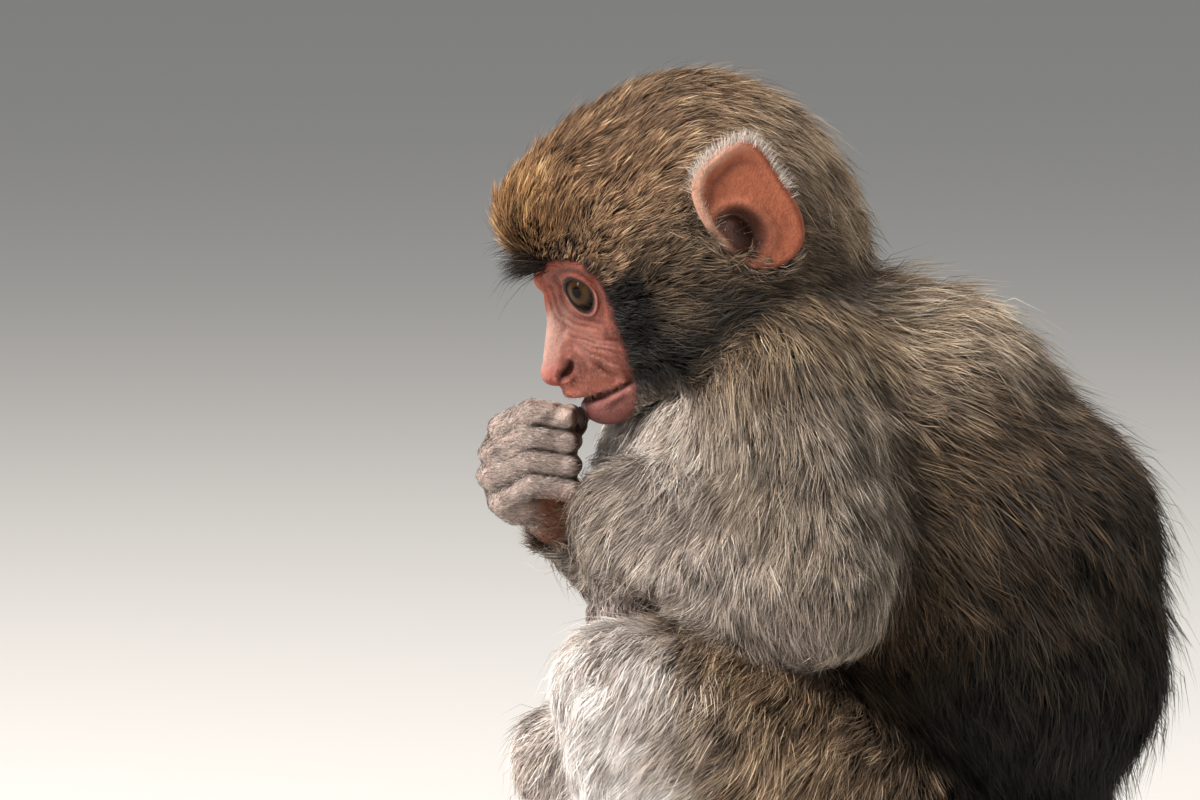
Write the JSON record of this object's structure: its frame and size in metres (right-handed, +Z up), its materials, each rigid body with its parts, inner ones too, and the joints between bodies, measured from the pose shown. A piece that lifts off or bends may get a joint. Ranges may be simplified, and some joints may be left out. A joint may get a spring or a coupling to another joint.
{
  "type": "young macaque monkey",
  "caption": "Young monkey seated with its knees drawn up and a fist at its mouth: soft brown coat, bare reddish face and large round ears.",
  "frame": {"origin": "on the floor, under the middle of the whole figure's box", "axes": "+Z up, -Y the way the body faces, +X the animal's left side"},
  "size_m": [0.16, 0.239, 0.2662],
  "materials": {
    "coat": "soft fur, brown with paler tips",
    "pale_coat": "thin pale fur over grey-pink skin",
    "bare_skin": "satin, finely wrinkled",
    "eye": "wet gloss",
    "nail": "satin"
  },
  "bodies": {
    "root": {"head": "coat", "neck": "coat", "chest": "coat", "belly": "coat", "pelvis": "coat", "tail": "coat", "upper_arm_left": "coat", "forearm_left": "coat", "upper_arm_right": "coat", "forearm_right": "coat", "thigh_left": "coat", "shank_left": "coat", "thigh_right": "coat", "shank_right": "coat", "jaw": "bare_skin", "ear_left": "bare_skin", "ear_right": "bare_skin", "hand_left": "pale_coat", "hand_right": "pale_coat", "foot_left": "pale_coat", "foot_right": "pale_coat", "eye_left": "eye", "eye_right": "eye"}
  },
  "joints": []
}
